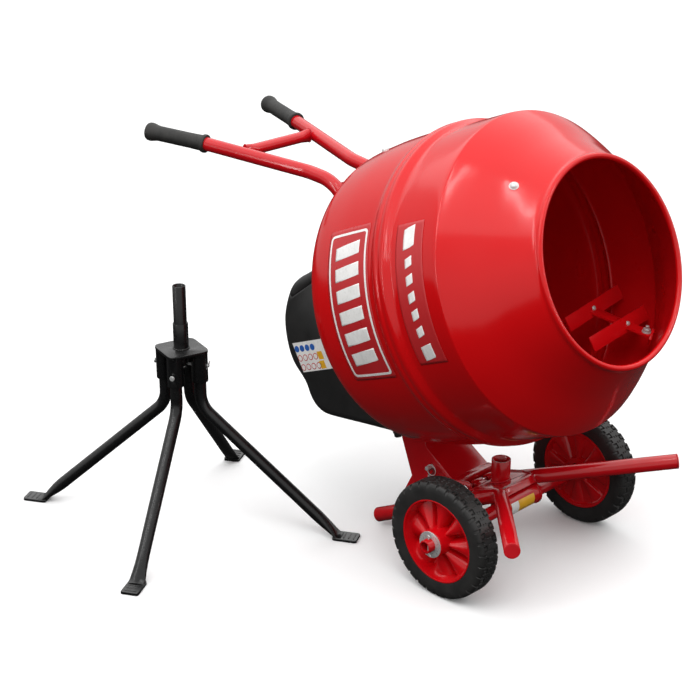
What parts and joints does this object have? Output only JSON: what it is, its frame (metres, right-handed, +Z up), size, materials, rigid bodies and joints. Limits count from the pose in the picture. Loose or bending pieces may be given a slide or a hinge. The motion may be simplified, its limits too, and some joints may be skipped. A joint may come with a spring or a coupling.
{
  "type": "concrete mixer",
  "caption": "Portable tilting drum concrete mixer: wheeled tube frame, handles, covered geared drive, and a separate four-legged stand.",
  "frame": {"origin": "middle of the whole object's box, on the floor plane that the wheels, the frame's feet and the stand rest on", "axes": "+Z up, +Y from the drum's mouth towards the handles, +X along the wheels' axle towards the side with the switch"},
  "size_m": [1.0322, 1.25, 0.9477],
  "materials": {
    "red_paint": "gloss",
    "drum_paint": "gloss",
    "red_plastic": "satin",
    "black_paint": "gloss",
    "black_plastic": "satin",
    "grip_rubber": "matte",
    "tyre_rubber": "matte",
    "zinc": "satin",
    "chrome": "polished",
    "steel": "machined",
    "gear_steel": "machined",
    "aluminium": "cast",
    "green_plastic": "gloss",
    "stop_plastic": "gloss"
  },
  "bodies": {
    "chassis": {"rail_left": "red_paint", "rail_right": "red_paint", "rail_plug_left": "red_plastic", "rail_plug_right": "red_plastic", "axle_tube": "red_paint", "axle_housing": "red_paint", "bridge_plate": "red_paint", "socket_tube": "red_paint", "pivot_sleeve_left": "red_paint", "pivot_sleeve_right": "red_paint", "ear_left": "red_paint", "ear_right": "red_paint", "rear_cross_tube": "red_paint", "washer_left": "zinc", "washer_right": "zinc"},
    "wheel_left": {"rim_left": "red_plastic", "tyre_left": "tyre_rubber"},
    "wheel_right": {"rim_right": "red_plastic", "tyre_right": "tyre_rubber"},
    "tilt_frame": {"yoke": "red_paint", "pivot_rod": "chrome", "handle_left": "red_paint", "handle_right": "red_paint", "handle_brace": "red_paint", "grip_left": "grip_rubber", "grip_right": "grip_rubber", "gearbox_case": "aluminium", "gearbox_lid": "aluminium", "motor_body": "aluminium", "cover_lower": "black_plastic", "cover_upper": "black_plastic", "switch_box": "black_plastic", "cable_gland": "black_plastic"},
    "drum": {"drum_front": "drum_paint", "drum_rear": "drum_paint", "drum_shaft": "steel", "output_gear": "gear_steel", "paddle_a": "red_paint", "paddle_b": "red_paint", "cone_bolt_a": "zinc", "cone_bolt_b": "zinc", "base_bolt_a": "zinc", "base_bolt_b": "zinc"},
    "countershaft": {"countershaft": "gear_steel"},
    "motor_rotor": {"motor_rotor": "steel"},
    "start_button": {"start_button": "green_plastic"},
    "stop_button": {"stop_button": "stop_plastic"},
    "lock_pin": {"lock_pin": "zinc", "lock_ring": "zinc"},
    "stand": {"stand_head": "black_paint", "stand_spigot": "black_paint", "stand_leg_1": "black_paint", "stand_leg_2": "black_paint", "stand_leg_3": "black_paint", "stand_leg_4": "black_paint", "stand_pin_a": "zinc", "stand_pin_b": "zinc"}
  },
  "joints": [
    {"name": "wheel_left_spin", "type": "hinge", "parent": "chassis", "child": "wheel_left", "pos_m": [0.1831, -0.3387, 0.125], "axis": [1, 0, 0], "continuous": true},
    {"name": "wheel_right_spin", "type": "hinge", "parent": "chassis", "child": "wheel_right", "pos_m": [0.1831, -0.3387, 0.125], "axis": [1, 0, 0], "continuous": true},
    {"name": "tilt", "type": "hinge", "parent": "chassis", "child": "tilt_frame", "pos_m": [0.1831, -0.2477, 0.141], "axis": [1, 0, 0], "range_deg": [0, 38]},
    {"name": "drum_spin", "type": "hinge", "parent": "tilt_frame", "child": "drum", "pos_m": [0.1831, -0.5507, 0.708], "axis": [0, -0.9285, 0.3714], "continuous": true},
    {"name": "countershaft_spin", "type": "hinge", "parent": "tilt_frame", "child": "countershaft", "pos_m": [0.1831, 0.02495, 0.37], "axis": [0, -0.9285, 0.3714], "continuous": true},
    {"name": "rotor_spin", "type": "hinge", "parent": "tilt_frame", "child": "motor_rotor", "pos_m": [0.2394, 0.04454, 0.31128], "axis": [0, -0.9285, 0.3714], "continuous": true},
    {"name": "start_press", "type": "slide", "parent": "tilt_frame", "child": "start_button", "axis": [-1, 0, 0], "range_m": [0, 0.002], "stiffness_N_per_m": 300},
    {"name": "stop_press", "type": "slide", "parent": "tilt_frame", "child": "stop_button", "axis": [-1, 0, 0], "range_m": [0, 0.002], "stiffness_N_per_m": 300},
    {"name": "lock_pull", "type": "slide", "parent": "tilt_frame", "child": "lock_pin", "axis": [-1, 0, 0], "range_m": [0, 0.02]},
    {"name": "stand_move", "type": "slide", "parent": "chassis", "child": "stand", "axis": [-0.5326, 0.8464, 0], "range_m": [0, 0.3]}
  ],
  "couplings": [
    {"joint": "countershaft_spin", "follows": "drum_spin", "ratio": -8.6667},
    {"joint": "rotor_spin", "follows": "drum_spin", "ratio": 52}
  ]
}
